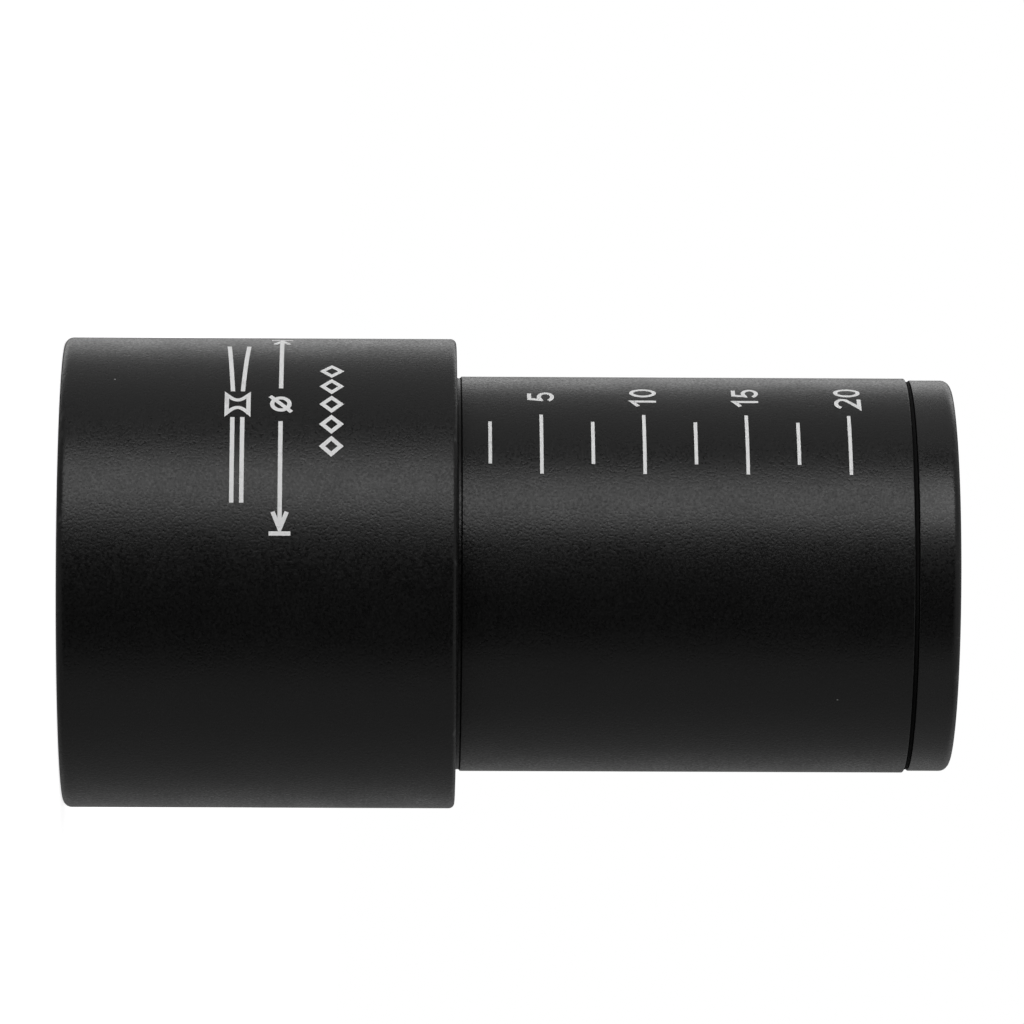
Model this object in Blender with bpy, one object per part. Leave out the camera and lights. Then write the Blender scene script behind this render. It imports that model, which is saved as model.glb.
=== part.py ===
"""A 23.2 mm 2x Barlow with a graduated draw tube.

A matt black outer sleeve holds a graduated draw tube, which slides and turns in it against a rubber friction
ring. A negative cemented doublet sits in a cell that screws into the tube's front end. The optical axis is +Z,
the origin is the centre of the sleeve's open rear face, and the front ring is at the top.
"""

import math

import bmesh
import bpy
from mathutils import Vector

MM = 0.001
SEGMENTS = 48  # sides of a turned piece
ARC_STEPS = 3  # chords in a rounded edge
LENS_STEPS = 6  # chords from a lens's axis to its rim
RUNNING_GAP = 0.05 * MM  # radial clearance of a running fit
SEAT_GAP = 0.03 * MM  # between two faces that rest on each other

# Outer sleeve: the standard 23.2 mm eyepiece barrel, open at both ends.
SLEEVE_R = 11.6 * MM
SLEEVE_LENGTH = 19.3 * MM
SLEEVE_REAR_EDGE = 0.42 * MM
SLEEVE_MOUTH_EDGE = 0.28 * MM
MOUTH_LAND = 3.5 * MM  # length of the narrow bore that guides the tube
MOUTH_CHAMFER = 0.1 * MM
SLIDE_BORE_R = 10.45 * MM  # wide bore that the stop collar runs in
THREAD_BORE_R = 10.8 * MM  # rear camera thread, drawn at its pitch radius
THREAD_LENGTH = 4.2 * MM
THREAD_CHAMFER = 0.15 * MM
RING_GROOVE_R = 10.75 * MM
RING_GROOVE_START = 17.0 * MM
RING_GROOVE_END = 18.3 * MM

# Draw tube, at its full extension.
TUBE_R = 9.75 * MM
TUBE_BORE_R = 8.55 * MM
TUBE_FRONT = 41.45 * MM
TUBE_CHAMFER = 0.06 * MM
RELIEF_WIDTH = 0.27 * MM  # shallow groove that marks full extension at the sleeve's mouth
RELIEF_DEPTH = 0.08 * MM
TUBE_SOCKET_DEPTH = 4.2 * MM  # length of the front thread that takes the lens cell

# Stop collar, screwed on the tube's tail, and the split glide ring in its groove.
COLLAR_R = 10.33 * MM
COLLAR_WIDTH = 2.0 * MM
COLLAR_BORE_R = 9.35 * MM
COLLAR_GAP = 0.06 * MM  # left to the sleeve's land at full extension
GLIDE_GROOVE_R = 9.95 * MM
GLIDE_WIDTH = 1.0 * MM
GLIDE_SPLIT = 8.0  # degrees left open
COLLAR_SLOT = 1.2 * MM  # spanner slots across the collar's rear face
COLLAR_SLOT_DEPTH = 0.4 * MM

# Light baffle, pressed into the tube.
BAFFLE_Z = 27.4 * MM
BAFFLE_WIDTH = 1.4 * MM
BAFFLE_RIM = 0.25 * MM  # thickness of its knife edge
BAFFLE_APERTURE_R = 6.6 * MM

# Lens cell: an outer ring with a threaded spigot behind it.
CELL_R = 9.66 * MM
CELL_REAR = 41.67 * MM  # rear face of the outer ring
CELL_FRONT = 43.7 * MM
CELL_FRONT_EDGE = 0.45 * MM
CELL_REAR_EDGE = 0.06 * MM
SPIGOT_R = 9.0 * MM
SPIGOT_REAR = 38.0 * MM
SPIGOT_CHAMFER = 0.25 * MM
LIP_WIDTH = 0.7 * MM  # lip that the doublet sits on
LIP_APERTURE_R = 7.1 * MM
RECESS_R = 8.45 * MM  # front counterbore for the retaining ring
RECESS_Z = 42.4 * MM
RECESS_CHAMFER = 0.12 * MM

# Washer in the joint between the tube and the cell.
WASHER_INNER_R = 9.08 * MM
WASHER_OUTER_R = 9.6 * MM

# Cemented negative doublet: a biconcave crown in front of a meniscus flint.
LENS_R = 8.0 * MM
LENS_REAR_EDGE = SPIGOT_REAR + LIP_WIDTH + SEAT_GAP
LENS_REAR_RADIUS = 80.0 * MM
CEMENTED_RADIUS = 40.0 * MM
LENS_FRONT_RADIUS = 60.0 * MM
FLINT_EDGE = 0.72 * MM
CROWN_EDGE = 2.25 * MM

# Spacer and slotted retaining ring in front of the doublet.
SPACER_WIDTH = 0.65 * MM
SPACER_INNER_R = 7.3 * MM
RETAINER_WIDTH = 0.8 * MM
RETAINER_R = 8.4 * MM
RETAINER_INNER_R = 7.15 * MM
RETAINER_CONE = 0.3 * MM
RETAINER_SLOT = 1.0 * MM
RETAINER_SLOT_DEPTH = 0.4 * MM

SMOOTH_ANGLE = math.radians(30)


def clear_scene():
    for old in list(bpy.data.objects):
        bpy.data.objects.remove(old, do_unlink=True)


def principled(name, color, roughness, metallic=0.0, alpha=1.0, transmission=0.0):
    material = bpy.data.materials.new(name)
    material.use_nodes = True
    shader = material.node_tree.nodes["Principled BSDF"]
    shader.inputs["Base Color"].default_value = (*color, 1.0)
    shader.inputs["Roughness"].default_value = roughness
    shader.inputs["Metallic"].default_value = metallic
    shader.inputs["Alpha"].default_value = alpha
    shader.inputs["Transmission Weight"].default_value = transmission
    return material


def arc(center, radius, start, end, steps=ARC_STEPS):
    """Points (r, z) on an arc, from one angle to the other in degrees, 0 pointing outward along r."""
    angles = [math.radians(start + (end - start) * i / steps) for i in range(steps + 1)]
    return [(center[0] + radius * math.cos(a), center[1] + radius * math.sin(a)) for a in angles]


def lens_face(edge_z, radius, centre_is_higher):
    """Points (r, z) of a spherical face, from the axis out to the lens's rim."""
    sag = radius - math.sqrt(radius**2 - LENS_R**2)
    side = 1 if centre_is_higher else -1
    points = []
    for i in range(LENS_STEPS + 1):
        r = LENS_R * i / LENS_STEPS
        drop = radius - math.sqrt(radius**2 - r**2)
        points.append((r, edge_z + side * (sag - drop)))
    return points


def turned(name, outline, material, sweep=360.0):
    """A solid of revolution about Z. The outline is a closed loop of (r, z), and a sweep under 360 leaves a split."""
    whole = sweep >= 360.0
    columns = SEGMENTS if whole else SEGMENTS + 1
    work = bmesh.new()
    rings = []
    for r, z in outline:
        if r == 0:
            rings.append([work.verts.new((0, 0, z))] * columns)
            continue
        angles = [math.radians(sweep) * i / SEGMENTS for i in range(columns)]
        rings.append([work.verts.new((r * math.cos(a), r * math.sin(a), z)) for a in angles])
    for ring, after in zip(rings, rings[1:] + rings[:1]):
        for i in range(SEGMENTS):
            j = (i + 1) % columns
            corners = [ring[i], ring[j], after[j], after[i]]
            corners = [v for k, v in enumerate(corners) if v is not corners[k - 1]]
            if len(corners) > 2:
                work.faces.new(corners)
    if not whole:
        work.faces.new([ring[0] for ring in rings])
        work.faces.new([ring[-1] for ring in rings])
    bmesh.ops.recalc_face_normals(work, faces=work.faces)
    mesh = bpy.data.meshes.new(name)
    work.to_mesh(mesh)
    work.free()
    mesh.shade_smooth()
    mesh.set_sharp_from_angle(angle=SMOOTH_ANGLE)
    mesh.materials.append(material)
    piece = bpy.data.objects.new(name, mesh)
    bpy.context.scene.collection.objects.link(piece)
    return piece


def cut_slot(piece, width, length, low_z, high_z):
    """Cuts a straight slot across a ring, through both of its sides."""
    work = bmesh.new()
    bmesh.ops.create_cube(work, size=1.0)
    bmesh.ops.scale(work, vec=Vector((length, width, high_z - low_z)), verts=work.verts)
    bmesh.ops.translate(work, vec=Vector((0, 0, (low_z + high_z) / 2)), verts=work.verts)
    mesh = bpy.data.meshes.new(piece.name + "_slot_cutter")
    work.to_mesh(mesh)
    work.free()
    cutter = bpy.data.objects.new(mesh.name, mesh)
    bpy.context.scene.collection.objects.link(cutter)
    cutter.hide_render = True
    cutter.display_type = "WIRE"
    boolean = piece.modifiers.new("spanner slot", "BOOLEAN")
    boolean.operation = "DIFFERENCE"
    boolean.solver = "EXACT"
    boolean.object = cutter


def make_outer_sleeve(black):
    land = SLEEVE_LENGTH - MOUTH_LAND
    mouth_r = TUBE_R + RUNNING_GAP
    top = SLEEVE_LENGTH
    rear_edge = SLEEVE_REAR_EDGE
    mouth_edge = SLEEVE_MOUTH_EDGE
    outline = [
        (THREAD_BORE_R + THREAD_CHAMFER, 0),
        *arc((SLEEVE_R - rear_edge, rear_edge), rear_edge, -90, 0),
        *arc((SLEEVE_R - mouth_edge, top - mouth_edge), mouth_edge, 0, 90),
        (mouth_r + MOUTH_CHAMFER, top),
        (mouth_r, top - MOUTH_CHAMFER),
        (mouth_r, RING_GROOVE_END),
        (RING_GROOVE_R, RING_GROOVE_END),
        (RING_GROOVE_R, RING_GROOVE_START),
        (mouth_r, RING_GROOVE_START),
        (mouth_r, land),
        (SLIDE_BORE_R, land),
        (SLIDE_BORE_R, THREAD_LENGTH),
        (THREAD_BORE_R, THREAD_LENGTH),
        (THREAD_BORE_R, THREAD_CHAMFER),
    ]
    return turned("outer_sleeve", outline, black)


def make_friction_ring(rubber):
    """A rubber ring in the sleeve's groove: the tube slides through it, and it turns with the tube."""
    inner = TUBE_R + RUNNING_GAP / 2
    outer = RING_GROOVE_R - RUNNING_GAP
    low = RING_GROOVE_START + RUNNING_GAP
    high = RING_GROOVE_END - RUNNING_GAP
    round_r = 0.3 * MM
    outline = [
        *arc((inner + round_r, low + round_r), round_r, 180, 270),
        *arc((outer - round_r, low + round_r), round_r, 270, 360),
        *arc((outer - round_r, high - round_r), round_r, 0, 90),
        *arc((inner + round_r, high - round_r), round_r, 90, 180),
    ]
    return turned("friction_ring", outline, rubber)


def collar_front():
    return SLEEVE_LENGTH - MOUTH_LAND - COLLAR_GAP


def make_draw_tube(black):
    tail = collar_front() - COLLAR_WIDTH
    tail_r = COLLAR_BORE_R - RUNNING_GAP
    relief = SLEEVE_LENGTH + RELIEF_WIDTH
    socket_r = SPIGOT_R + RUNNING_GAP
    socket = TUBE_FRONT - TUBE_SOCKET_DEPTH
    outline = [
        (TUBE_BORE_R, tail),
        (tail_r, tail),
        (tail_r, collar_front() + SEAT_GAP),
        (TUBE_R, collar_front() + SEAT_GAP),
        (TUBE_R, SLEEVE_LENGTH),
        (TUBE_R - RELIEF_DEPTH, SLEEVE_LENGTH + RELIEF_DEPTH / 2),
        (TUBE_R - RELIEF_DEPTH, relief - RELIEF_DEPTH / 2),
        (TUBE_R, relief),
        (TUBE_R, TUBE_FRONT - TUBE_CHAMFER),
        (TUBE_R - TUBE_CHAMFER, TUBE_FRONT),
        (socket_r, TUBE_FRONT),
        (socket_r, socket),
        (TUBE_BORE_R, socket),
    ]
    return turned("draw_tube", outline, black)


def make_stop_collar(black):
    front = collar_front()
    rear = front - COLLAR_WIDTH
    middle = (front + rear) / 2
    outline = [
        (COLLAR_BORE_R, rear),
        (COLLAR_R - SEAT_GAP, rear),
        (COLLAR_R, rear + SEAT_GAP),
        (COLLAR_R, middle - GLIDE_WIDTH / 2),
        (GLIDE_GROOVE_R, middle - GLIDE_WIDTH / 2),
        (GLIDE_GROOVE_R, middle + GLIDE_WIDTH / 2),
        (COLLAR_R, middle + GLIDE_WIDTH / 2),
        (COLLAR_R, front),
        (COLLAR_BORE_R, front),
    ]
    collar = turned("stop_collar", outline, black)
    cut_slot(collar, COLLAR_SLOT, 3 * COLLAR_R, rear - COLLAR_SLOT_DEPTH, rear + COLLAR_SLOT_DEPTH)
    return collar


def make_glide_ring(nylon):
    middle = collar_front() - COLLAR_WIDTH / 2
    low = middle - GLIDE_WIDTH / 2 + SEAT_GAP
    high = middle + GLIDE_WIDTH / 2 - SEAT_GAP
    inner = GLIDE_GROOVE_R + SEAT_GAP
    outer = SLIDE_BORE_R - RUNNING_GAP
    outline = [(inner, low), (outer, low), (outer, high), (inner, high)]
    return turned("collar_glide_ring", outline, nylon, sweep=360.0 - GLIDE_SPLIT)


def make_light_baffle(black):
    outer = TUBE_BORE_R - SEAT_GAP
    low = BAFFLE_Z - BAFFLE_WIDTH / 2
    high = BAFFLE_Z + BAFFLE_WIDTH / 2
    skirt = outer - 0.6 * MM
    outline = [
        (BAFFLE_APERTURE_R, high - BAFFLE_RIM),
        (skirt, high - 2 * BAFFLE_RIM),
        (skirt, low),
        (outer, low),
        (outer, high),
        (BAFFLE_APERTURE_R, high),
    ]
    return turned("light_baffle", outline, black)


def make_cell_washer(fibre):
    low = TUBE_FRONT + SEAT_GAP
    high = CELL_REAR - SEAT_GAP
    outline = [
        (WASHER_INNER_R, low),
        (WASHER_OUTER_R, low),
        (WASHER_OUTER_R, high),
        (WASHER_INNER_R, high),
    ]
    return turned("cell_washer", outline, fibre)


def make_lens_cell(black):
    bore_r = LENS_R + RUNNING_GAP
    front = CELL_FRONT
    edge = CELL_FRONT_EDGE
    outline = [
        (LIP_APERTURE_R, SPIGOT_REAR),
        (SPIGOT_R - SPIGOT_CHAMFER, SPIGOT_REAR),
        (SPIGOT_R, SPIGOT_REAR + SPIGOT_CHAMFER),
        (SPIGOT_R, CELL_REAR),
        (CELL_R - CELL_REAR_EDGE, CELL_REAR),
        (CELL_R, CELL_REAR + CELL_REAR_EDGE),
        *arc((CELL_R - edge, front - edge), edge, 0, 90),
        (RECESS_R + RECESS_CHAMFER, front),
        (RECESS_R, front - RECESS_CHAMFER),
        (RECESS_R, RECESS_Z),
        (bore_r, RECESS_Z),
        (bore_r, SPIGOT_REAR + LIP_WIDTH),
        (LIP_APERTURE_R, SPIGOT_REAR + LIP_WIDTH),
    ]
    return turned("lens_cell", outline, black)


def make_doublet(glass):
    """The two elements. Each outline runs out along the rear face and back along the front face."""
    cemented = LENS_REAR_EDGE + FLINT_EDGE
    flint_rear = lens_face(LENS_REAR_EDGE, LENS_REAR_RADIUS, True)
    flint_front = lens_face(cemented, CEMENTED_RADIUS, True)
    crown_rear = lens_face(cemented + SEAT_GAP, CEMENTED_RADIUS, True)
    crown_front = lens_face(crown_edge_z(), LENS_FRONT_RADIUS, False)
    return [
        turned("flint_lens", flint_rear + flint_front[::-1], glass),
        turned("crown_lens", crown_rear + crown_front[::-1], glass),
    ]


def crown_edge_z():
    return LENS_REAR_EDGE + FLINT_EDGE + SEAT_GAP + CROWN_EDGE


def make_lens_spacer(black):
    low = crown_edge_z() + SEAT_GAP
    high = low + SPACER_WIDTH
    outline = [(SPACER_INNER_R, low), (LENS_R, low), (LENS_R, high), (SPACER_INNER_R, high)]
    return turned("lens_spacer", outline, black)


def make_retaining_ring(black):
    low = crown_edge_z() + SPACER_WIDTH + 2 * SEAT_GAP
    high = low + RETAINER_WIDTH
    outline = [
        (RETAINER_INNER_R, low),
        (RETAINER_R, low),
        (RETAINER_R, high),
        (RETAINER_INNER_R + RETAINER_CONE, high),
        (RETAINER_INNER_R, high - RETAINER_CONE),
    ]
    ring = turned("lens_retaining_ring", outline, black)
    cut_slot(ring, RETAINER_SLOT, 3 * RETAINER_R, high - RETAINER_SLOT_DEPTH, high + RETAINER_SLOT_DEPTH)
    return ring


def hold(name, children):
    """An empty on the optical axis that carries the pieces of one moving body."""
    empty = bpy.data.objects.new(name, None)
    empty.empty_display_size = 5 * MM
    bpy.context.scene.collection.objects.link(empty)
    for child in children:
        child.parent = empty
    return empty


def main():
    clear_scene()
    matt_black = principled("matt_black_anodised", (0.012, 0.012, 0.013), 0.42, metallic=0.5)
    satin_black = principled("satin_black_anodised", (0.014, 0.014, 0.015), 0.3, metallic=0.5)
    inner_black = principled("inner_black", (0.008, 0.008, 0.008), 0.7)
    rubber = principled("black_rubber", (0.02, 0.02, 0.02), 0.75)
    nylon = principled("white_nylon", (0.75, 0.74, 0.7), 0.4)
    fibre = principled("black_fibre", (0.01, 0.01, 0.01), 0.9)
    glass = principled("coated_glass", (0.9, 0.97, 0.93), 0.02, alpha=0.35, transmission=1.0)

    make_outer_sleeve(matt_black)
    friction_ring = make_friction_ring(rubber)
    tube_pieces = [
        make_draw_tube(matt_black),
        make_stop_collar(inner_black),
        make_glide_ring(nylon),
        make_light_baffle(inner_black),
    ]
    washer = make_cell_washer(fibre)
    cell_pieces = [
        make_lens_cell(satin_black),
        *make_doublet(glass),
        make_lens_spacer(inner_black),
        make_retaining_ring(satin_black),
    ]
    cell = hold("lens_cell_axis", cell_pieces)
    travel = hold("cell_washer_axis", [washer, cell])
    tube = hold("draw_tube_axis", [*tube_pieces, travel])
    hold("friction_ring_axis", [friction_ring, tube])


main()
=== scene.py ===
"""Looks of the barlow lens: fine turned meshes with real threads, engraved marks, materials, stage, light
and camera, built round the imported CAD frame. The optical axis is +Z and the part stands on its sleeve."""

import math
from collections import namedtuple

import bmesh
import bpy
from mathutils import Matrix, Vector


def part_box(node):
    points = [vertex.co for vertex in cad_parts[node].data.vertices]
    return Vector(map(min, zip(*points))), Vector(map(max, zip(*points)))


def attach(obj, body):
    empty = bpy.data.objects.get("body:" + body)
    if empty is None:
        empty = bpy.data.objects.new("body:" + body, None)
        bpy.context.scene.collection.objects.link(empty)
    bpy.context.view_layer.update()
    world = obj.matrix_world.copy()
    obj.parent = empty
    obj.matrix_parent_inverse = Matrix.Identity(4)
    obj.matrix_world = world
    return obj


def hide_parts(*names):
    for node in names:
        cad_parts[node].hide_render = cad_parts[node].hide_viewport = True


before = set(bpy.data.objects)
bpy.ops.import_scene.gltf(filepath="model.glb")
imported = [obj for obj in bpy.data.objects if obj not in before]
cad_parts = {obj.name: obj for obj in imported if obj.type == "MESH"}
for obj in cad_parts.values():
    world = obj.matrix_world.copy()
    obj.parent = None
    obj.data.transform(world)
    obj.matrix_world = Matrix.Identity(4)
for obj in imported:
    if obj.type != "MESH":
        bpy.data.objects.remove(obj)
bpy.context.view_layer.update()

MM = 0.001
SEGMENTS = 192  # sides of a turned piece
EDGE_STEPS = 6  # chords in a rounded edge
CELL_EDGE_STEPS = 4  # and in the small one at the cell's joint
SMALL_EDGE_STEPS = 3  # and in an edge that is only broken
LENS_STEPS = 20  # chords from a lens's axis to its rim
THREAD_ROWS = 8  # rows of points to a turn of a thread
GLARE_ROWS = 6  # and to a turn of the anti-glare grooves
SUPPORT = 0.06 * MM  # how far from an edge a long face gets its extra row of points
SMOOTH_ANGLE = math.radians(32)


def limits(node):
    """A turned node's lowest and highest z, and its radius."""
    low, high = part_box(node)
    return low.z, high.z, high.x


# Heights and outer radii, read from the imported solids.
_, SLEEVE_TOP, SLEEVE_R = limits("outer_sleeve")
RING_LOW, RING_HIGH, RING_R = limits("friction_ring")
TUBE_LOW, TUBE_HIGH, TUBE_R = limits("draw_tube")
COLLAR_LOW, COLLAR_HIGH, COLLAR_R = limits("stop_collar")
GLIDE_LOW, GLIDE_HIGH, GLIDE_R = limits("collar_glide_ring")
BAFFLE_LOW, BAFFLE_HIGH, BAFFLE_R = limits("light_baffle")
WASHER_LOW, WASHER_HIGH, WASHER_R = limits("cell_washer")
CELL_LOW, CELL_HIGH, CELL_R = limits("lens_cell")
SPACER_LOW, SPACER_HIGH, SPACER_R = limits("lens_spacer")
RETAINER_LOW, RETAINER_HIGH, RETAINER_R = limits("lens_retaining_ring")
LENS_R = limits("crown_lens")[2]

# Sizes inside the pieces, as the solids have them.
SEAT_GAP = 0.03 * MM
RUNNING_GAP = 0.05 * MM
MOUTH_LAND = 3.5 * MM
MOUTH_BORE_R = 9.8 * MM
SLIDE_BORE_R = 10.45 * MM
RING_GROOVE_R = 10.75 * MM
RING_ROUND = 0.3 * MM
TUBE_BORE_R = 8.55 * MM
TAIL_R = 9.3 * MM
COLLAR_BORE_R = 9.35 * MM
GLIDE_GROOVE_R = 9.95 * MM
GLIDE_SPLIT = 8.0  # degrees left open
COLLAR_SLOT = 1.2 * MM
BAFFLE_APERTURE_R = 6.6 * MM
BAFFLE_RIM = 0.25 * MM
BAFFLE_WALL = 0.6 * MM
WASHER_BORE_R = 9.08 * MM
SPIGOT_R = 9.0 * MM
SOCKET_R = 9.05 * MM
SOCKET_DEPTH = 4.2 * MM
CELL_BORE_R = 8.05 * MM
CELL_LIP = 0.7 * MM
CELL_APERTURE_R = 7.1 * MM
RECESS_R = 8.45 * MM
RECESS_DEPTH = 1.3 * MM
FLINT_EDGE = 0.72 * MM
LENS_REAR_RADIUS = 80.0 * MM
CEMENTED_RADIUS = 40.0 * MM
LENS_FRONT_RADIUS = 60.0 * MM
LENS_BEVEL = 0.12 * MM
SPACER_BORE_R = 7.3 * MM
RETAINER_BORE_R = 7.15 * MM
RETAINER_CONE = 0.3 * MM
RETAINER_SLOT = 1.0 * MM
SLOT_DEPTH = 0.4 * MM

# Edges and joints that the light catches.
SLEEVE_REAR_EDGE = 0.42 * MM
SLEEVE_MOUTH_EDGE = 0.28 * MM
MOUTH_CHAMFER = 0.1 * MM
RELIEF_WIDTH = 0.27 * MM
RELIEF_DEPTH = 0.08 * MM
TUBE_CHAMFER = 0.06 * MM
CELL_REAR_EDGE = 0.06 * MM
CELL_FRONT_EDGE = 0.45 * MM
SPIGOT_CHAMFER = 0.25 * MM
SPIGOT_NECK = 0.3 * MM  # plain stretch between the spigot's thread and the ring
RECESS_CHAMFER = 0.12 * MM
RECESS_NECK = 0.1 * MM  # plain stretch at the bottom of the counterbore's thread
SMALL_EDGE = 0.05 * MM

# Threads: right-hand helices, cut into the surface by their depth.
CAMERA_THREAD_R = 10.8 * MM
CAMERA_THREAD_LENGTH = 4.2 * MM
CAMERA_RUNOUT = 0.4 * MM  # taper from the thread to the wide bore
CAMERA_CHAMFER = 0.2 * MM
CAMERA_PITCH = 0.75 * MM
CAMERA_DEPTH = 0.22 * MM
FINE_PITCH = 0.5 * MM
FINE_DEPTH = 0.16 * MM
SHALLOW_DEPTH = 0.08 * MM
GLARE_START = 0.5 * MM  # plain stretch at each end of the anti-glare grooves in the tube's bore

# The millimetre scale on the tube. Angles run round the axis from -Y towards -X, in degrees.
SCALE_ZERO = 18.4 * MM
SCALE_STEP = 2.5 * MM
SCALE_MARKS = 8
SCALE_ANGLE = 41.4
LONG_MARK = 22.9
SHORT_MARK = 16.3
MARK_WIDTH = 0.17 * MM
NUMBER_ANGLE = 62.8
NUMBER_HEIGHT = 1.27 * MM
NUMBER_WIDTH = 1.65 * MM  # of a cell one unit wide
NUMBER_STROKE = 0.2 * MM

# The marks on the sleeve: a lens sign, a diameter sign and a row of diamonds. Each has its height above the
# sleeve's rear face and its span in degrees.
SIGN_ANGLE = 44.9
SIGN_HEIGHT = 1.05 * MM
SIGN_STROKE = 0.21 * MM
LENS_SIGN_Z, LENS_SIGN_SPAN = 8.65 * MM, 56.0
SIZE_SIGN_Z, SIZE_SIGN_SPAN = 10.74 * MM, 71.0
ROW_SIGN_Z, ROW_SIGN_SPAN = 13.2 * MM, 30.5
ROW_SIGNS = 5
DIAMOND_REACH = 0.43 * SIGN_HEIGHT  # from a diamond's middle to its corners

# The lens sign: half the lens's thickness at its rim and at its middle, and the rays beside the axis.
LENS_RIM = 0.62 * MM
LENS_WAIST = 0.26 * MM
LENS_SIDE_STEPS = 16
RAY_GAP = 0.28 * MM  # between the lens and the rays
RAY_OFFSET = 0.24 * MM
RAY_SPREAD = 0.92  # where the spread rays end, as a share of half the sign's height

# The diameter sign: a slashed circle in the middle of a dimension line.
CIRCLE_R = 0.42 * MM
SLASH_REACH = 0.55 * MM
CIRCLE_ROOM = 1.15 * MM  # half the gap that the circle stands in
ARROW_LENGTH = 0.85 * MM
ARROW_BARB = 0.34 * MM
TICK_GAP = 0.22 * MM  # from an end tick to the arrow's tip
TIP_GAP = 0.2 * MM  # from the arrow's tip to the end of the line

LOOP_END = 351  # degrees at the last point of a closed ellipse, before it joins the first
MITRE_LIMIT = 0.35  # least cosine that a stroke's corner is drawn out by

PAINT_SINK = 0.03 * MM
PAINT_PROUD = 0.004 * MM
PAINT_LAYER = 0.0008 * MM  # between strokes that cross


# ---------------------------------------------------------------- turned meshes

# A point's last value lightens the anodising there: scuffing and a painted glint.
Point = namedtuple("Point", "r z cut pitch wear", defaults=(0.0, 1.0, 0.0))


def link(name, mesh, material, body, replaced=()):
    mesh.materials.append(material)
    piece = bpy.data.objects.new(name, mesh)
    bpy.context.scene.collection.objects.link(piece)
    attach(piece, body)
    if replaced:
        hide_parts(*replaced)


def arc(center, radius, start, end, steps=EDGE_STEPS):
    """Points of a rounded edge between two angles in degrees, 0 pointing along r. Its middle carries
    scuffing and a painted glint along the crown.
    """
    points = []
    for i in range(steps + 1):
        t = i / steps
        a = math.radians(start + (end - start) * t)
        wear = math.sin(math.pi * t)
        points.append(Point(center[0] + radius * math.cos(a), center[1] + radius * math.sin(a), wear=wear))
    return points


def thread(r, start, end, pitch, depth, rows=THREAD_ROWS):
    """Points of a helical thread from one height to the other. Its cut fades in and out over a turn."""
    steps = max(2, round(abs(end - start) / pitch * rows))
    points = []
    for i in range(steps + 1):
        fade = min(1.0, i / rows, (steps - i) / rows)
        points.append(Point(r, start + (end - start) * i / steps, depth * fade, pitch))
    return points


def lens_face(edge_z, radius, centre_is_higher, rim=LENS_R):
    """Points of a spherical lens face, from the axis to its rim. edge_z is its height at LENS_R."""
    sag = radius - math.sqrt(radius**2 - LENS_R**2)
    side = 1 if centre_is_higher else -1
    points = []
    for i in range(LENS_STEPS + 1):
        r = rim * i / LENS_STEPS
        drop = radius - math.sqrt(radius**2 - r**2)
        points.append(Point(r, edge_z + side * (sag - drop)))
    return points


def supported(outline):
    """The outline with extra points near the ends of its long plain stretches, so that they shade flat."""
    points = []
    for here, after in zip(outline, outline[1:] + outline[:1]):
        points.append(here)
        length = math.dist(here[:2], after[:2])
        if length > 4 * SUPPORT and here.r and after.r and not here.cut and not after.cut:
            for t in (SUPPORT / length, 1 - SUPPORT / length):
                points.append(Point(here.r + (after.r - here.r) * t, here.z + (after.z - here.z) * t))
    return points


def turned(name, outline, sweep=360.0):
    """A closed solid of revolution from a loop of points. A point with a cut follows its helix."""
    outline = supported([Point(*point) for point in outline])
    whole = sweep >= 360.0
    columns = SEGMENTS if whole else SEGMENTS + 1
    work = bmesh.new()
    wear_and_glint_layer = work.verts.layers.float.new("wear")
    rings = []
    for point in outline:
        if point.r == 0:
            rings.append([work.verts.new((0, 0, point.z))] * columns)
            continue
        ring = []
        for i in range(columns):
            turn = sweep / 360.0 * i / SEGMENTS
            groove = 1 - abs(2 * ((point.z / point.pitch - turn) % 1.0) - 1)
            r = point.r - point.cut * groove
            angle = 2 * math.pi * turn
            vert = work.verts.new((r * math.cos(angle), r * math.sin(angle), point.z))
            vert[wear_and_glint_layer] = point.wear
            ring.append(vert)
        rings.append(ring)
    for ring, after in zip(rings, rings[1:] + rings[:1]):
        for i in range(SEGMENTS):
            j = (i + 1) % columns
            corners = [ring[i], ring[j], after[j], after[i]]
            corners = [v for k, v in enumerate(corners) if v is not corners[k - 1]]
            if len(corners) > 2:
                work.faces.new(corners)
    if not whole:
        work.faces.new([ring[0] for ring in rings])
        work.faces.new([ring[-1] for ring in rings])
    bmesh.ops.recalc_face_normals(work, faces=work.faces)
    return finished(name, work)


def finished(name, work):
    mesh = bpy.data.meshes.new(name)
    work.to_mesh(mesh)
    work.free()
    mesh.shade_smooth()
    mesh.set_sharp_from_angle(angle=SMOOTH_ANGLE)
    return mesh


def slotted(mesh, width, low, high):
    """The mesh with one straight slot cut across it."""
    work = bmesh.new()
    bmesh.ops.create_cube(work, size=1.0)
    bmesh.ops.scale(work, vec=Vector((3 * SLEEVE_R, width, high - low)), verts=work.verts)
    bmesh.ops.translate(work, vec=Vector((0, 0, (low + high) / 2)), verts=work.verts)
    helpers = [bpy.data.objects.new("ring", mesh), bpy.data.objects.new("bar", finished("slot_bar", work))]
    for helper in helpers:
        bpy.context.scene.collection.objects.link(helper)
    cut = helpers[0].modifiers.new("slot", "BOOLEAN")
    cut.operation = "DIFFERENCE"
    cut.object = helpers[1]
    graph = bpy.context.evaluated_depsgraph_get()
    result = bpy.data.meshes.new_from_object(helpers[0].evaluated_get(graph))
    for helper in helpers:
        bpy.data.objects.remove(helper)
    result.name = mesh.name + "_slotted"
    result.set_sharp_from_angle(angle=SMOOTH_ANGLE)
    return result


# ---------------------------------------------------------------- engraved marks

MOST_STEP = 0.12 * MM  # longest straight stretch of a stroke before it follows the cylinder


def curve(center, radii, start, end, steps=20):
    """Points on an ellipse between two angles in degrees."""
    points = []
    for i in range(steps + 1):
        a = math.radians(start + (end - start) * i / steps)
        points.append((center[0] + radii[0] * math.cos(a), center[1] + radii[1] * math.sin(a)))
    return points


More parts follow.
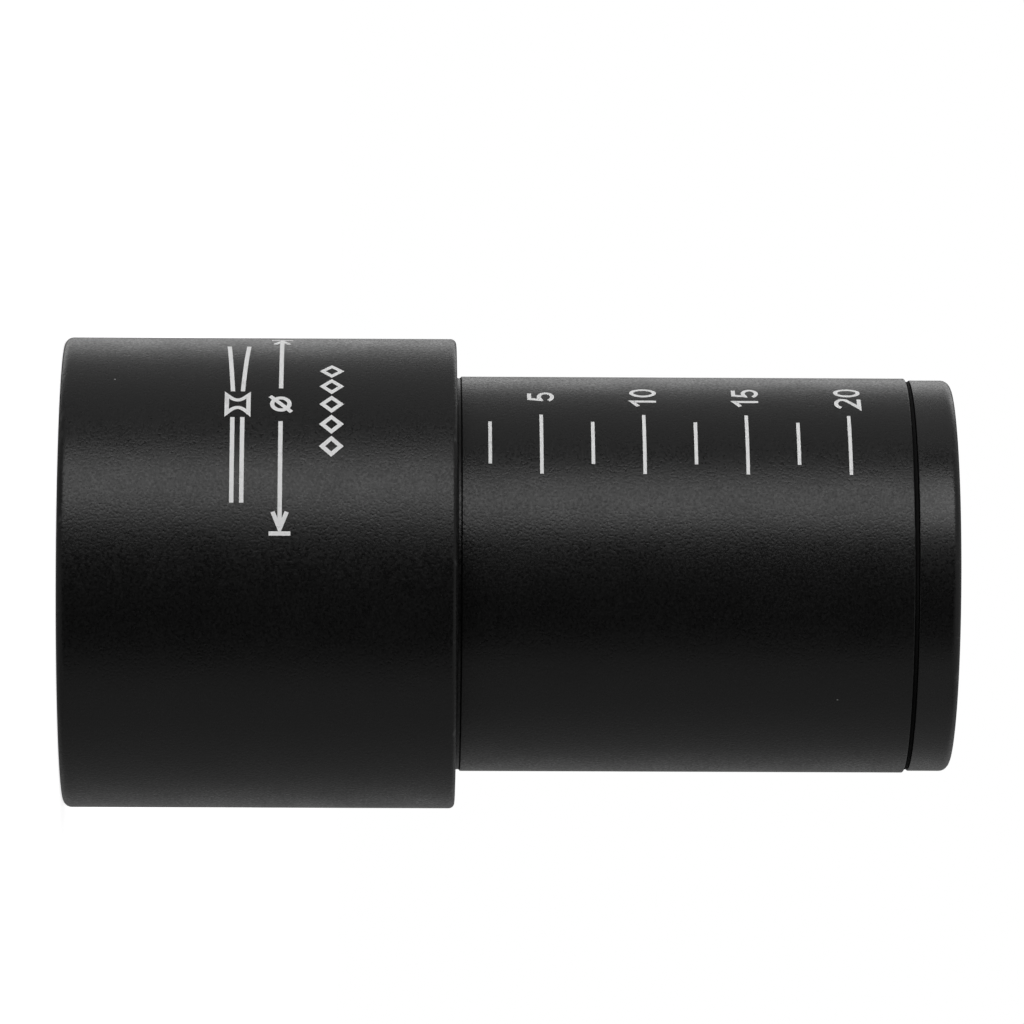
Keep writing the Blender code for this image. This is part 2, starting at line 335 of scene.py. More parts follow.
def resampled(path, closed):
    """The path with its long stretches split."""
    ends = path[1:] + path[:1] if closed else path[1:]
    points = []
    for a, b in zip(path, ends):
        steps = max(1, math.ceil(math.dist(a, b) / MOST_STEP))
        for i in range(steps):
            points.append((a[0] + (b[0] - a[0]) * i / steps, a[1] + (b[1] - a[1]) * i / steps))
    return points if closed else points + [path[-1]]


def stroke_sides(points, closed, width):
    """The left and right edges of a stroke of one width, with mitred corners."""
    left, right = [], []
    last = len(points) - 1
    for i, here in enumerate(points):
        before = Vector(points[i - 1] if i or closed else here)
        after = Vector(points[(i + 1) % len(points)] if i < last or closed else here)
        here = Vector(here)
        into = (here - before).normalized() if before != here else (after - here).normalized()
        out = (after - here).normalized() if after != here else into
        normal = Vector((-(into + out).y, (into + out).x)).normalized()
        reach = width / 2 / max(MITRE_LIMIT, normal.dot(Vector((-into.y, into.x))))
        left.append(here + normal * reach)
        right.append(here - normal * reach)
    return left, right


def add_stroke(work, stroke, width, radius, proud):
    """A closed strip of paint set into a cylinder. The stroke's place turns its points into (angle, z)."""
    path, closed, place = stroke
    left, right = stroke_sides(resampled(path, closed), closed, width)
    levels = (radius - PAINT_SINK, radius + proud)
    rings = []
    for l, r in zip(left, right):
        ring = []
        for side, level in ((l, levels[0]), (r, levels[0]), (r, levels[1]), (l, levels[1])):
            angle, z = place(side)
            ring.append(work.verts.new((-level * math.sin(angle), -level * math.cos(angle), z)))
        rings.append(ring)
    pairs = zip(rings, rings[1:] + rings[:1]) if closed else zip(rings, rings[1:])
    for ring, after in pairs:
        for k in range(4):
            m = (k + 1) % 4
            work.faces.new((ring[k], ring[m], after[m], after[k]))
    if not closed:
        work.faces.new(rings[0])
        work.faces.new(rings[-1])


def paint_piece(name, strokes, width, radius, body):
    """One object of paint strokes. Each stroke is (path, closed, place)."""
    work = bmesh.new()
    for i, stroke in enumerate(strokes):
        add_stroke(work, stroke, width, radius, PAINT_PROUD + PAINT_LAYER * (i % 4))
    bmesh.ops.recalc_face_normals(work, faces=work.faces)
    link(name, finished(name, work), scale_paint, body)


def along_arc(angle, z, radius):
    """Places a point (u, v): u is the distance round the cylinder from the angle in degrees, and v is the
    height above z."""
    start = math.radians(angle)
    return lambda point: (start + point[0] / radius, z + point[1])


# Numerals in a cell one unit high: x in reading direction, y up, and the room that each takes.
NUMERALS = {
    "0": ([(curve((0.32, 0.5), (0.24, 0.44), 0, LOOP_END), True)], 0.64),
    "1": ([([(0.06, 0.70), (0.33, 0.93), (0.33, 0.0)], False)], 0.52),
    "2": ([(curve((0.32, 0.69), (0.24, 0.25), 165, -30, 14)
            + [(0.08, 0.06), (0.59, 0.06)], False)], 0.66),
    "5": ([([(0.55, 0.94), (0.17, 0.94), (0.115, 0.5)]
            + curve((0.31, 0.315), (0.25, 0.255), 130, -155, 18), False)], 0.64),
}
NUMBER_GAP = 0.06


def number_strokes(text, z):
    """Strokes of a number on the tube, read round the cylinder with its top towards -Z."""
    width = sum(NUMERALS[c][1] for c in text) + NUMBER_GAP * (len(text) - 1)
    cursor = -width / 2
    place = along_arc(NUMBER_ANGLE, z, TUBE_R)
    strokes = []
    for character in text:
        paths, advance = NUMERALS[character]
        for path, closed in paths:
            points = [((cursor + x) * NUMBER_WIDTH, (0.5 - y) * NUMBER_HEIGHT) for x, y in path]
            strokes.append((points, closed, place))
        cursor += advance + NUMBER_GAP
    return strokes


def bar(span, z):
    """A mark of the scale, across the tube's length."""
    half = math.radians(span / 2) * TUBE_R
    return ([(-half, 0), (half, 0)], False, along_arc(SCALE_ANGLE, z, TUBE_R))


def lens_sign():
    """A biconcave lens with rays that run in along the axis and spread beyond it."""
    half = math.radians(LENS_SIGN_SPAN / 2) * SLEEVE_R
    tall = SIGN_HEIGHT / 2
    place = along_arc(SIGN_ANGLE, LENS_SIGN_Z, SLEEVE_R)
    bow = LENS_RIM - LENS_WAIST
    side = []
    for i in range(LENS_SIDE_STEPS + 1):
        t = i / LENS_SIDE_STEPS
        side.append((LENS_RIM - bow * math.sin(math.pi * t), tall * (2 * t - 1)))
    outline = side + [(-x, -y) for x, y in side]
    strokes = [(outline, True, place)]
    near = LENS_RIM + RAY_GAP
    for way in (-1, 1):
        v = way * RAY_OFFSET
        strokes.append(([(-half, v), (-near, v)], False, place))
        strokes.append(([(near, v), (half, way * tall * RAY_SPREAD)], False, place))
    return strokes


def size_sign():
    """A dimension line: end ticks, arrowheads, and the round diameter sign in the middle."""
    half = math.radians(SIZE_SIGN_SPAN / 2) * SLEEVE_R
    tall = SIGN_HEIGHT / 2
    place = along_arc(SIGN_ANGLE, SIZE_SIGN_Z, SLEEVE_R)
    strokes = [
        (curve((0, 0), (CIRCLE_R, CIRCLE_R), 0, LOOP_END), True, place),
        ([(-SLASH_REACH, tall), (SLASH_REACH, -tall)], False, place),
    ]
    for way in (-1, 1):
        end = way * half
        tip = way * (half - TICK_GAP)
        barbs = tip - way * ARROW_LENGTH
        strokes.append(([(end, -tall), (end, tall)], False, place))
        strokes.append(([(barbs, -ARROW_BARB), (tip, 0), (barbs, ARROW_BARB)], False, place))
        strokes.append(([(way * CIRCLE_ROOM, 0), (tip - way * TIP_GAP, 0)], False, place))
    return strokes


def row_sign():
    """A row of small diamonds."""
    half = math.radians(ROW_SIGN_SPAN / 2) * SLEEVE_R
    reach = DIAMOND_REACH
    place = along_arc(SIGN_ANGLE, ROW_SIGN_Z, SLEEVE_R)
    strokes = []
    for i in range(ROW_SIGNS):
        u = (half - reach) * (2 * i / (ROW_SIGNS - 1) - 1)
        strokes.append(([(u - reach, 0), (u, -reach), (u + reach, 0), (u, reach)], True, place))
    return strokes


# ---------------------------------------------------------------- materials

class Surface:
    """A Principled material and the few nodes that give it its detail, in object coordinates."""

    def __init__(self, name):
        self.material = bpy.data.materials.new(name)
        self.material.use_nodes = True
        self.tree = self.material.node_tree
        self.shader = self.tree.nodes["Principled BSDF"]
        self.place = self.tree.nodes.new("ShaderNodeTexCoord").outputs["Object"]

    def set(self, **values):
        for name, value in values.items():
            self.shader.inputs[name.replace("_", " ")].default_value = value

    def join(self, source, target):
        self.tree.links.new(source, target)

    def noise(self, size, detail, place=None):
        """Noise whose features are about this size."""
        node = self.tree.nodes.new("ShaderNodeTexNoise")
        node.inputs["Scale"].default_value = 1.0 / size
        node.inputs["Detail"].default_value = detail
        self.join(place or self.place, node.inputs["Vector"])
        return node.outputs["Fac"]

    def range(self, value, low, high, start, end):
        """Maps a value from low..high to start..end, held at both ends."""
        node = self.tree.nodes.new("ShaderNodeMapRange")
        for name, number in (("From Min", low), ("From Max", high), ("To Min", start), ("To Max", end)):
            node.inputs[name].default_value = number
        self.join(value, node.inputs["Value"])
        return node.outputs["Result"]

    def math(self, operation, a, b):
        node = self.tree.nodes.new("ShaderNodeMath")
        node.operation = operation
        for socket, value in zip(node.inputs, (a, b)):
            if isinstance(value, float):
                socket.default_value = value
            else:
                self.join(value, socket)
        return node.outputs["Value"]

    def mix(self, factor, a, b):
        """A colour between a and b. Each is a colour or a colour socket."""
        node = self.tree.nodes.new("ShaderNodeMix")
        node.data_type = "RGBA"
        self.join(factor, node.inputs["Factor"])
        for name, value in (("A", a), ("B", b)):
            if isinstance(value, tuple):
                node.inputs[name].default_value = (*value, 1)
            else:
                self.join(value, node.inputs[name])
        return node.outputs["Result"]

    def around(self, squeeze):
        """Coordinates (radius, height) with only a little of the way round, for marks left by turning."""
        split = self.tree.nodes.new("ShaderNodeSeparateXYZ")
        flat = self.tree.nodes.new("ShaderNodeCombineXYZ")
        join = self.tree.nodes.new("ShaderNodeCombineXYZ")
        length = self.tree.nodes.new("ShaderNodeVectorMath")
        length.operation = "LENGTH"
        self.join(self.place, split.inputs[0])
        self.join(split.outputs["X"], flat.inputs["X"])
        self.join(split.outputs["Y"], flat.inputs["Y"])
        self.join(flat.outputs[0], length.inputs[0])
        self.join(length.outputs["Value"], join.inputs["X"])
        self.join(self.math("MULTIPLY", split.outputs["X"], squeeze), join.inputs["Y"])
        self.join(split.outputs["Z"], join.inputs["Z"])
        return join.outputs[0]

    def specks(self, cell, size, share):
        """Small dots of dust, at most one in each cell, in this share of the cells."""
        cells = self.tree.nodes.new("ShaderNodeTexVoronoi")
        cells.inputs["Scale"].default_value = 1.0 / cell
        self.join(self.place, cells.inputs["Vector"])
        split = self.tree.nodes.new("ShaderNodeSeparateColor")
        self.join(cells.outputs["Color"], split.inputs["Color"])
        dot = self.range(cells.outputs["Distance"], size / cell / 3, size / cell / 2, 1.0, 0.0)
        chosen = self.math("GREATER_THAN", split.outputs["Red"], 1.0 - share)
        return self.math("MULTIPLY", dot, chosen)

    def wear(self, size, threshold):
        """Where the edges are lighter: scuffed anodising and a painted glint along their crowns, as the
        mesh marks them, broken up by noise of this size.
        """
        edge = self.tree.nodes.new("ShaderNodeAttribute")
        edge.attribute_name = "wear"
        patch = self.range(self.noise(size, 3.0), threshold, threshold + 0.15, 0.0, 1.0)
        return self.math("MULTIPLY", self.range(edge.outputs["Fac"], 0.5, 1.0, 0.0, 1.0), patch)

    def bump(self, height, distance):
        node = self.tree.nodes.new("ShaderNodeBump")
        node.inputs["Strength"].default_value = 1.0
        node.inputs["Distance"].default_value = distance
        self.join(height, node.inputs["Height"])
        self.join(node.outputs["Normal"], self.shader.inputs["Normal"])

    def color(self, socket):
        self.join(socket, self.shader.inputs["Base Color"])

    def roughness(self, socket):
        self.join(socket, self.shader.inputs["Roughness"])


def gray(tone):
    return (tone, tone, tone)


def anodised(name, tone, roughness, specular, grain_size, grain_depth, turning):
    """Black anodising: blasted grain, faint turning marks, cloudy gloss, scuffed edges with a painted glint
    on them, and a little dust.
    """
    surface = Surface(name)
    grain = surface.noise(grain_size, 1.0)
    lines = surface.noise(0.09 * MM, 1.0, surface.around(0.04))
    tooth = surface.math("ADD", grain, surface.math("MULTIPLY", lines, turning))
    cloud = surface.math("MULTIPLY", surface.noise(2.6 * MM, 4.0), 0.35)
    matt = surface.math("ADD", grain, cloud)
    surface.roughness(surface.range(matt, 0.45, 0.9, roughness - 0.1, roughness + 0.1))
    base = surface.mix(grain, gray(tone * 0.75), gray(tone * 1.3))
    # The edges turn grey: scuffed anodising, and a painted highlight along the crowns of the rounded edges.
    base_with_wear_and_glint = surface.mix(surface.wear(0.7 * MM, 0.6), base, gray(0.05))
    surface.color(surface.mix(surface.specks(3.1 * MM, 0.11 * MM, 0.1), base_with_wear_and_glint, gray(0.22)))
    surface.set(Specular_IOR_Level=specular)
    surface.bump(tooth, grain_depth)
    return surface.material


def engraving_paint(name, tone):
    """Paint filled into the engraving, with a chalky speckle and thin patches."""
    surface = Surface(name)
    speckle = surface.noise(0.07 * MM, 3.0)
    patch = surface.noise(0.6 * MM, 2.0)
    chalk = surface.mix(speckle, gray(tone * 0.9), gray(tone * 1.06))
    surface.color(surface.mix(surface.range(patch, 0.62, 0.75, 0.0, 0.35), chalk, gray(tone * 0.5)))
    surface.roughness(surface.range(speckle, 0.3, 0.7, 0.6, 0.85))
    surface.bump(speckle, 0.004 * MM)
    return surface.material


def turned_black(name, tone, roughness, specular):
    """Dull anti-reflection black over coarse turning marks."""
    surface = Surface(name)
    lines = surface.noise(0.14 * MM, 3.0, surface.around(0.05))
    chalk = surface.noise(0.25 * MM, 4.0)
    surface.color(surface.mix(chalk, gray(tone * 0.6), gray(tone * 1.6)))
    surface.roughness(surface.range(chalk, 0.3, 0.7, roughness - 0.08, roughness + 0.08))
    surface.set(Specular_IOR_Level=specular)
    surface.bump(lines, 0.012 * MM)
    return surface.material


def moulded_rubber(name):
    """Matt black rubber with a bloom and a slightly orange-peeled skin."""
    surface = Surface(name)
    peel = surface.noise(0.22 * MM, 3.0)
    bloom = surface.noise(1.8 * MM, 3.0)
    surface.color(surface.mix(bloom, gray(0.012), gray(0.035)))
    surface.roughness(surface.range(peel, 0.3, 0.7, 0.62, 0.82))
    surface.bump(peel, 0.014 * MM)
    return surface.material


def cut_nylon(name):
    """Natural nylon strip: cream, slightly translucent, with fine cutting marks."""
    surface = Surface(name)
    lines = surface.noise(0.1 * MM, 2.0, surface.around(0.05))
    cloud = surface.noise(1.5 * MM, 2.0)
    surface.color(surface.mix(cloud, (0.70, 0.67, 0.59), (0.80, 0.78, 0.72)))
    surface.roughness(surface.range(lines, 0.3, 0.7, 0.36, 0.5))
    surface.set(Subsurface_Weight=0.2, Subsurface_Scale=0.4 * MM)
    surface.bump(lines, 0.006 * MM)
    return surface.material


def pressed_fibre(name):
    """Black vulcanised fibre: matted strands and a dry surface."""
    surface = Surface(name)
    strands = surface.noise(0.05 * MM, 4.0, surface.around(0.3))
    surface.color(surface.mix(strands, gray(0.002), gray(0.008)))
    surface.roughness(surface.range(strands, 0.3, 0.7, 0.8, 0.95))
    surface.set(Specular_IOR_Level=0.1)
    surface.bump(strands, 0.01 * MM)
    return surface.material


def coated_glass(name):
    """Polished glass with a thin green coating and a trace of haze."""
    surface = Surface(name)
    haze = surface.noise(2.4 * MM, 4.0)
    surface.roughness(surface.range(haze, 0.5, 0.8, 0.0, 0.04))
    surface.set(Base_Color=(0.94, 0.98, 0.955, 1), Transmission_Weight=1.0, IOR=1.52)
    surface.set(Thin_Film_Thickness=310.0, Thin_Film_IOR=1.38)  # the thickness is in nanometres
    return surface.material


matt_black = anodised("matt_black_anodised", tone=0.004, roughness=0.355, specular=0.33,
                      grain_size=0.12 * MM, grain_depth=0.014 * MM, turning=0.1)
satin_black = anodised("satin_black_anodised", tone=0.004, roughness=0.33, specular=0.4,
                       grain_size=0.1 * MM, grain_depth=0.009 * MM, turning=0.2)
inner_black = turned_black("inner_black", tone=0.01, roughness=0.6, specular=0.3)
rubber = moulded_rubber("black_rubber")
nylon = cut_nylon("white_nylon")
fibre = pressed_fibre("black_fibre")
scale_paint = engraving_paint("scale_paint", tone=0.88)
glass = coated_glass("coated_glass")


# ---------------------------------------------------------------- pieces

def broken_edges(r, low, high):
    """Points of a ring's outer face, with its lower and its upper edge broken."""
    edge = SMALL_EDGE
    return [
        *arc((r - edge, low + edge), edge, -90, 0, SMALL_EDGE_STEPS),
        *arc((r - edge, high - edge), edge, 0, 90, SMALL_EDGE_STEPS),
    ]


def glare_grooves(start, end):
    """Points of the anti-glare grooves down a stretch of the tube's bore."""
    first, last = start - GLARE_START, end + GLARE_START
    return thread(TUBE_BORE_R, first, last, FINE_PITCH, -SHALLOW_DEPTH, GLARE_ROWS)


def make_sleeve():
    rear_edge = SLEEVE_REAR_EDGE
    mouth_edge = SLEEVE_MOUTH_EDGE
    land = SLEEVE_TOP - MOUTH_LAND
    runout = CAMERA_THREAD_LENGTH + CAMERA_RUNOUT
    outline = [
        Point(CAMERA_THREAD_R + CAMERA_CHAMFER, 0, wear=0.6),
        *arc((SLEEVE_R - rear_edge, rear_edge), rear_edge, -90, 0),
        *arc((SLEEVE_R - mouth_edge, SLEEVE_TOP - mouth_edge), mouth_edge, 0, 90),
        Point(MOUTH_BORE_R + MOUTH_CHAMFER, SLEEVE_TOP, wear=0.8),
        Point(MOUTH_BORE_R, SLEEVE_TOP - MOUTH_CHAMFER),
        Point(MOUTH_BORE_R, RING_HIGH + RUNNING_GAP),
        Point(RING_GROOVE_R, RING_HIGH + RUNNING_GAP),
        Point(RING_GROOVE_R, RING_LOW - RUNNING_GAP),
        Point(MOUTH_BORE_R, RING_LOW - RUNNING_GAP),
        Point(MOUTH_BORE_R, land),
        Point(SLIDE_BORE_R, land),
        Point(SLIDE_BORE_R, runout),
        *thread(CAMERA_THREAD_R, CAMERA_THREAD_LENGTH, CAMERA_CHAMFER, CAMERA_PITCH, CAMERA_DEPTH),
    ]
    link("sleeve_shell", turned("sleeve_shell", outline), matt_black, "sleeve",
         ["outer_sleeve"])


def make_friction_ring():
    inner = TUBE_R + RUNNING_GAP / 2
    low, high = RING_LOW + RING_ROUND, RING_HIGH - RING_ROUND
    outline = [
        *arc((inner + RING_ROUND, low), RING_ROUND, 180, 270),
        *arc((RING_R - RING_ROUND, low), RING_ROUND, 270, 360),
        *arc((RING_R - RING_ROUND, high), RING_ROUND, 0, 90),
        *arc((inner + RING_ROUND, high), RING_ROUND, 90, 180),
    ]
    link("rubber_ring", turned("rubber_ring", outline), rubber, "friction_ring",
         ["friction_ring"])


def make_tube():
    socket = TUBE_HIGH - SOCKET_DEPTH
    relief = SLEEVE_TOP + RELIEF_WIDTH
    slope = RELIEF_DEPTH  # the relief's sides lie at 45 degrees
    shoulder = COLLAR_HIGH + SEAT_GAP
    chamfer = TUBE_CHAMFER
    outline = [
        Point(TUBE_BORE_R, TUBE_LOW),
        Point(TAIL_R - SMALL_EDGE, TUBE_LOW),
        *thread(TAIL_R, TUBE_LOW + SMALL_EDGE, COLLAR_HIGH, FINE_PITCH, SHALLOW_DEPTH),
        Point(TAIL_R, shoulder),
        Point(TUBE_R - SMALL_EDGE, shoulder),
        Point(TUBE_R, shoulder + SMALL_EDGE, wear=0.6),
        Point(TUBE_R, SLEEVE_TOP, wear=0.5),
        Point(TUBE_R - RELIEF_DEPTH, SLEEVE_TOP + slope),
        Point(TUBE_R - RELIEF_DEPTH, relief - slope),
        Point(TUBE_R, relief, wear=0.5),
        *arc((TUBE_R - chamfer, TUBE_HIGH - chamfer), chamfer, 0, 90),
        Point(SOCKET_R, TUBE_HIGH),
        *thread(SOCKET_R, TUBE_HIGH - SMALL_EDGE, socket, FINE_PITCH, FINE_DEPTH),
        Point(TUBE_BORE_R, socket),
        *glare_grooves(socket, BAFFLE_HIGH),
        *glare_grooves(BAFFLE_LOW, TUBE_LOW),
    ]
    link("tube_shell", turned("tube_shell", outline), matt_black, "draw_tube",
         ["draw_tube"])


def make_stop_collar():
    low, high = COLLAR_LOW, COLLAR_HIGH
    edge = SMALL_EDGE
    groove_low, groove_high = GLIDE_LOW - SEAT_GAP, GLIDE_HIGH + SEAT_GAP
    outline = [
        Point(COLLAR_BORE_R, low),
        *arc((COLLAR_R - edge, low + edge), edge, -90, 0, SMALL_EDGE_STEPS),
        Point(COLLAR_R, groove_low),
        Point(GLIDE_GROOVE_R, groove_low),
        Point(GLIDE_GROOVE_R, groove_high),
        Point(COLLAR_R, groove_high),
        *arc((COLLAR_R - edge, high - edge), edge, 0, 90, SMALL_EDGE_STEPS),
        Point(COLLAR_BORE_R, high),
        *thread(COLLAR_BORE_R, high - edge, low + edge, FINE_PITCH, SHALLOW_DEPTH),
    ]
    ring = slotted(turned("collar", outline), COLLAR_SLOT, low - SLOT_DEPTH, low + SLOT_DEPTH)
    link("slotted_stop_collar", ring, inner_black, "draw_tube", ["stop_collar"])


def make_glide_ring():
    inner = GLIDE_GROOVE_R + SEAT_GAP
    outline = [
        Point(inner, GLIDE_LOW),
        *broken_edges(GLIDE_R, GLIDE_LOW, GLIDE_HIGH),
        Point(inner, GLIDE_HIGH),
    ]
    mesh = turned("glide_strip", outline, sweep=360.0 - GLIDE_SPLIT)
    link("glide_strip", mesh, nylon, "draw_tube", ["collar_glide_ring"])


def make_baffle():
    skirt = BAFFLE_R - BAFFLE_WALL
    outline = [
        Point(BAFFLE_APERTURE_R, BAFFLE_HIGH - BAFFLE_RIM),
        Point(skirt, BAFFLE_HIGH - 2 * BAFFLE_RIM),
        Point(skirt, BAFFLE_LOW),
        *broken_edges(BAFFLE_R, BAFFLE_LOW, BAFFLE_HIGH),
        Point(BAFFLE_APERTURE_R + BAFFLE_RIM, BAFFLE_HIGH),
        Point(BAFFLE_APERTURE_R, BAFFLE_HIGH - BAFFLE_RIM / 2),
    ]
    link("knife_edge_baffle", turned("knife_edge_baffle", outline), inner_black, "draw_tube",
         ["light_baffle"])


def make_washer():
    middle = (WASHER_LOW + WASHER_HIGH) / 2
    outline = [
        Point(WASHER_BORE_R, WASHER_LOW),
        Point(WASHER_R - SEAT_GAP, WASHER_LOW),
        Point(WASHER_R, middle),
        Point(WASHER_R - SEAT_GAP, WASHER_HIGH),
        Point(WASHER_BORE_R, WASHER_HIGH),
    ]
    link("fibre_washer", turned("fibre_washer", outline), fibre, "cell_washer", ["cell_washer"])


def make_cell():
    rear = WASHER_HIGH + SEAT_GAP
    edge = CELL_FRONT_EDGE
    recess = CELL_HIGH - RECESS_DEPTH
    outline = [
        Point(CELL_APERTURE_R, CELL_LOW),
        Point(SPIGOT_R - SPIGOT_CHAMFER, CELL_LOW),
        *thread(SPIGOT_R, CELL_LOW + SPIGOT_CHAMFER, rear - SPIGOT_NECK, FINE_PITCH, FINE_DEPTH),
        Point(SPIGOT_R, rear),
        *arc((CELL_R - CELL_REAR_EDGE, rear + CELL_REAR_EDGE), CELL_REAR_EDGE, -90, 0, CELL_EDGE_STEPS),
        *arc((CELL_R - edge, CELL_HIGH - edge), edge, 0, 90),
        Point(RECESS_R + RECESS_CHAMFER, CELL_HIGH, wear=0.7),
        *thread(RECESS_R, CELL_HIGH - RECESS_CHAMFER, recess + RECESS_NECK, FINE_PITCH, -SHALLOW_DEPTH),
        Point(RECESS_R, recess),
        Point(CELL_BORE_R, recess),
        Point(CELL_BORE_R, CELL_LOW + CELL_LIP),
        Point(CELL_APERTURE_R, CELL_LOW + CELL_LIP),
    ]
    link("cell_shell", turned("cell_shell", outline), satin_black, "lens_cell",
         ["lens_cell"])


def make_doublet():
    """The biconcave crown in front of the meniscus flint, with ground bevels at their outer rims."""
    bevel = LENS_R - LENS_BEVEL
    rear_edge = CELL_LOW + CELL_LIP + SEAT_GAP
    cemented = rear_edge + FLINT_EDGE
    front_edge = SPACER_LOW - SEAT_GAP
    flint = [
        *lens_face(rear_edge, LENS_REAR_RADIUS, True, bevel),
        Point(LENS_R, rear_edge + LENS_BEVEL),
        *lens_face(cemented, CEMENTED_RADIUS, True)[::-1],
    ]
    crown = [
        *lens_face(cemented + SEAT_GAP, CEMENTED_RADIUS, True),
        Point(LENS_R, front_edge - LENS_BEVEL),
        *lens_face(front_edge, LENS_FRONT_RADIUS, False, bevel)[::-1],
    ]
    flint_mesh = turned("flint_element", flint)
    crown_mesh = turned("crown_element", crown)
    link("flint_element", flint_mesh, glass, "lens_cell", ["flint_lens"])
    link("crown_element", crown_mesh, glass, "lens_cell", ["crown_lens"])


def make_spacer():
    edge = SMALL_EDGE
    outline = [
        Point(SPACER_BORE_R, SPACER_LOW + edge),
        Point(SPACER_BORE_R + edge, SPACER_LOW),
        *broken_edges(SPACER_R, SPACER_LOW, SPACER_HIGH),
        Point(SPACER_BORE_R + edge, SPACER_HIGH),
        Point(SPACER_BORE_R, SPACER_HIGH - edge),
    ]
    link("spacer_ring", turned("spacer_ring", outline), inner_black, "lens_cell",
         ["lens_spacer"])


def make_retaining_ring():
    low, high = RETAINER_LOW, RETAINER_HIGH
    outline = [
        Point(RETAINER_BORE_R, low),
        Point(RETAINER_R - SMALL_EDGE, low),
        *thread(RETAINER_R, low + SMALL_EDGE, high - SMALL_EDGE, FINE_PITCH, SHALLOW_DEPTH),
        Point(RETAINER_R - SMALL_EDGE, high),
        Point(RETAINER_BORE_R + RETAINER_CONE, high, wear=0.8),
        Point(RETAINER_BORE_R, high - RETAINER_CONE, wear=0.6),
    ]
    ring = slotted(turned("retainer", outline), RETAINER_SLOT, high - SLOT_DEPTH, high + SLOT_DEPTH)
    link("slotted_retaining_ring", ring, satin_black, "lens_cell",
         ["lens_retaining_ring"])


def make_scale():
    lines, numbers = [], []
    for mark in range(1, SCALE_MARKS + 1):
        z = SCALE_ZERO + SCALE_STEP * mark
        numbered = mark % 2 == 0
        lines.append(bar(LONG_MARK if numbered else SHORT_MARK, z))
        if numbered:
            numbers += number_strokes(str(round(SCALE_STEP / MM * mark)), z)
    paint_piece("scale_lines", lines, MARK_WIDTH, TUBE_R, "draw_tube")
    paint_piece("scale_numbers", numbers, NUMBER_STROKE, TUBE_R, "draw_tube")


def make_signs():
    paint_piece("lens_sign", lens_sign(), SIGN_STROKE, SLEEVE_R, "sleeve")
    paint_piece("size_sign", size_sign(), SIGN_STROKE, SLEEVE_R, "sleeve")
    paint_piece("row_sign", row_sign(), SIGN_STROKE, SLEEVE_R, "sleeve")


make_sleeve()
make_friction_ring()
make_tube()
make_stop_collar()
make_glide_ring()
make_baffle()
make_washer()
make_cell()
make_doublet()
make_spacer()
make_retaining_ring()
make_scale()
make_signs()


# ---------------------------------------------------------------- stage, light and camera

CAMERA_DISTANCE = 0.396
CAMERA_FOOT_Z = 15.3 * MM
VIEW_WIDTH = 50.655 * MM  # width of the view at the part's axis
SENSOR = 36.0
AIM = Vector((-3.07 * MM, 0, 22.1 * MM))
ROLL = math.radians(0.24)
LIGHT_TARGET = Vector((0, 0, 22 * MM))
BACKGROUND = 1.0  # what the camera sees of the backdrop
AMBIENT = 0.005  # what reaches the part from it
FLOOR_Z = -0.02 * MM  # just clear of the part's rear face
FLOOR_GLOW = 0.8, 1.0  # lifts the floor to the backdrop's white, near the part and far from it
FLOOR_HALF = 3.0
GLOW_REACH = 1.2  # how far off the floor's glow reaches its most

# Softboxes: azimuth from -Y towards -X, elevation, distance, width, height and watts. A ring of tall ones
# stands round the part, for the long reflections down its sides. A wide dim one above it and another below
# light its rounded edges and its end faces.
LIGHTS = {
    "key": (44, 0, 0.6, 0.32, 0.8, 2.8),
    "front_fill": (-62, 0, 0.6, 0.38, 0.8, 0.35),
    "side_fill": (-98, 0, 0.6, 0.38, 0.8, 0.35),
    "rear_fill": (-134, 0, 0.6, 0.38, 0.8, 0.35),
    "far_side": (105, 0, 0.6, 0.64, 0.8, 0.8),
    "rim": (150, 0, 0.6, 0.32, 0.8, 1.0),
    "back": (-165, 0, 0.6, 0.32, 0.8, 0.25),
    "top": (0, 90, 0.9, 2.4, 2.4, 7.0),
    "below": (0, -90, 0.9, 2.4, 2.4, 5.5),
}


def add_camera():
    data = bpy.data.cameras.new("camera")
    data.sensor_width = SENSOR
    data.lens = SENSOR * CAMERA_DISTANCE / VIEW_WIDTH
    data.clip_start = 0.01
    data.clip_end = 20
    camera = bpy.data.objects.new("camera", data)
    bpy.context.scene.collection.objects.link(camera)
    place = Vector((0, -CAMERA_DISTANCE, CAMERA_FOOT_Z))
    backward = (place - AIM).normalized()
    right = Vector((-1, 0, 0)).cross(backward).normalized()
    up = backward.cross(right)
    turn = Matrix((right, up, backward)).transposed() @ Matrix.Rotation(ROLL, 3, "Z")
    camera.matrix_world = Matrix.Translation(place) @ turn.to_4x4()
    bpy.context.scene.camera = camera


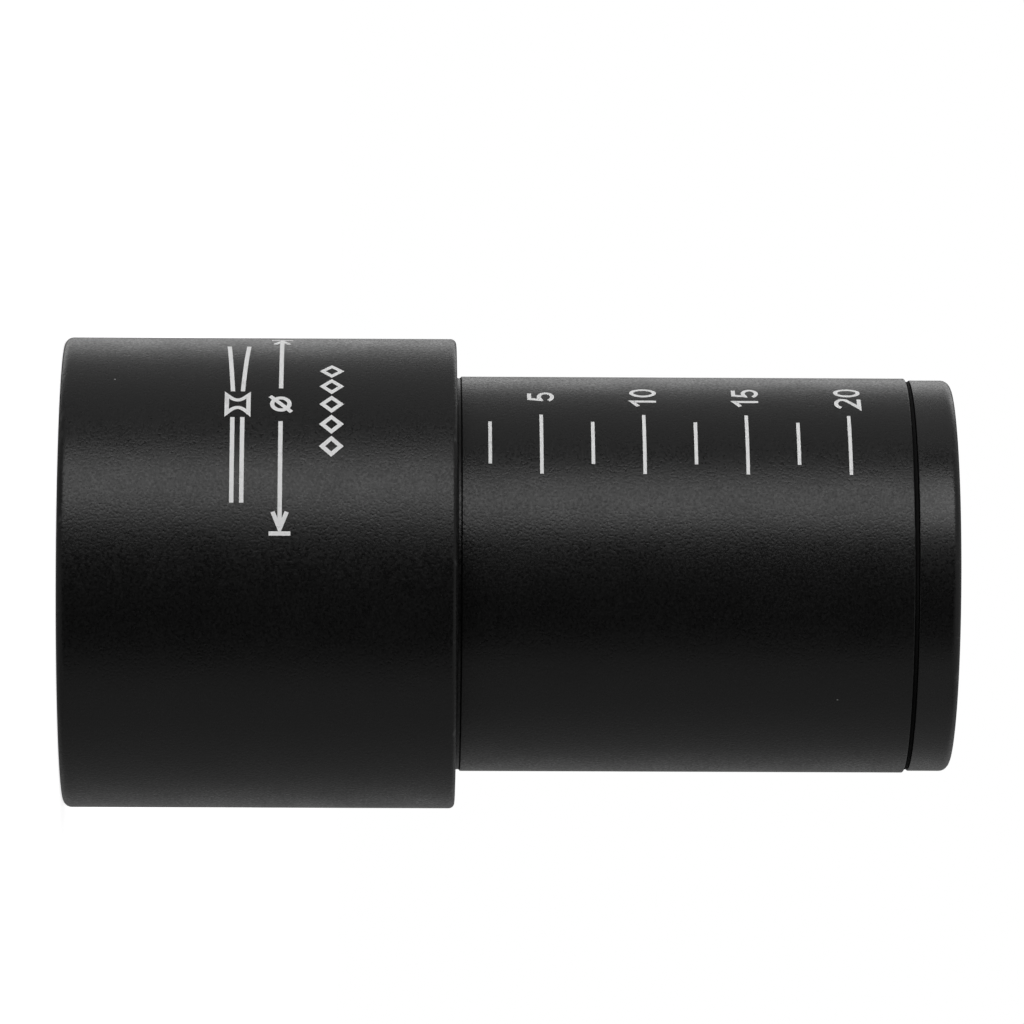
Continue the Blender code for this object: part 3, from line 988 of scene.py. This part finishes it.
def add_floor():
    """A plain pale floor. It stays out of reflections and shadows, because the softboxes reach past it."""
    signs = ((-1, -1), (1, -1), (1, 1), (-1, 1))
    corners = [(x * FLOOR_HALF, y * FLOOR_HALF, FLOOR_Z) for x, y in signs]
    mesh = bpy.data.meshes.new("floor")
    mesh.from_pydata(corners, [], [(0, 1, 2, 3)])
    floor = bpy.data.objects.new("floor", mesh)
    bpy.context.scene.collection.objects.link(floor)
    surface = Surface("pale_floor")
    fleck = surface.noise(4 * MM, 3.0)
    surface.color(surface.mix(fleck, gray(0.78), gray(0.82)))
    surface.set(Roughness=0.9)
    eye = surface.tree.nodes.new("ShaderNodeLightPath").outputs["Is Camera Ray"]
    away = surface.tree.nodes.new("ShaderNodeVectorMath")
    away.operation = "LENGTH"
    surface.join(surface.place, away.inputs[0])
    glow = surface.range(away.outputs["Value"], 0.0, GLOW_REACH, *FLOOR_GLOW)
    surface.join(surface.math("MULTIPLY", eye, glow), surface.shader.inputs["Emission Strength"])
    surface.set(Emission_Color=(1, 1, 1, 1))
    mesh.materials.append(surface.material)
    floor.visible_shadow = False
    floor.visible_glossy = False


def add_light(name, azimuth, elevation, distance, width, height, watts):
    """A soft rectangular light that faces the part's middle."""
    data = bpy.data.lights.new(name, "AREA")
    data.shape = "RECTANGLE"
    data.size = width
    data.size_y = height
    data.energy = watts
    lamp = bpy.data.objects.new(name, data)
    bpy.context.scene.collection.objects.link(lamp)
    turn, lift = math.radians(azimuth), math.radians(elevation)
    away = Vector((-math.sin(turn) * math.cos(lift), -math.cos(turn) * math.cos(lift), math.sin(lift)))
    lamp.location = LIGHT_TARGET + away * distance
    lamp.rotation_euler = away.to_track_quat("Z", "Y").to_euler()
    lamp.visible_camera = False


def add_world():
    """A pale backdrop to the camera, and a dimmer surround to everything else."""
    world = bpy.data.worlds.new("world")
    bpy.context.scene.world = world
    world.use_nodes = True
    tree = world.node_tree
    eye = tree.nodes.new("ShaderNodeLightPath").outputs["Is Camera Ray"]
    strength = tree.nodes.new("ShaderNodeMapRange")
    strength.inputs["To Min"].default_value = AMBIENT
    strength.inputs["To Max"].default_value = BACKGROUND
    tree.links.new(eye, strength.inputs["Value"])
    background = tree.nodes["Background"]
    background.inputs["Color"].default_value = (1, 1, 1, 1)
    tree.links.new(strength.outputs["Result"], background.inputs["Strength"])


add_camera()
add_floor()
add_world()
for name, placing in LIGHTS.items():
    add_light(name, *placing)
bpy.context.scene.view_settings.view_transform = "Standard"
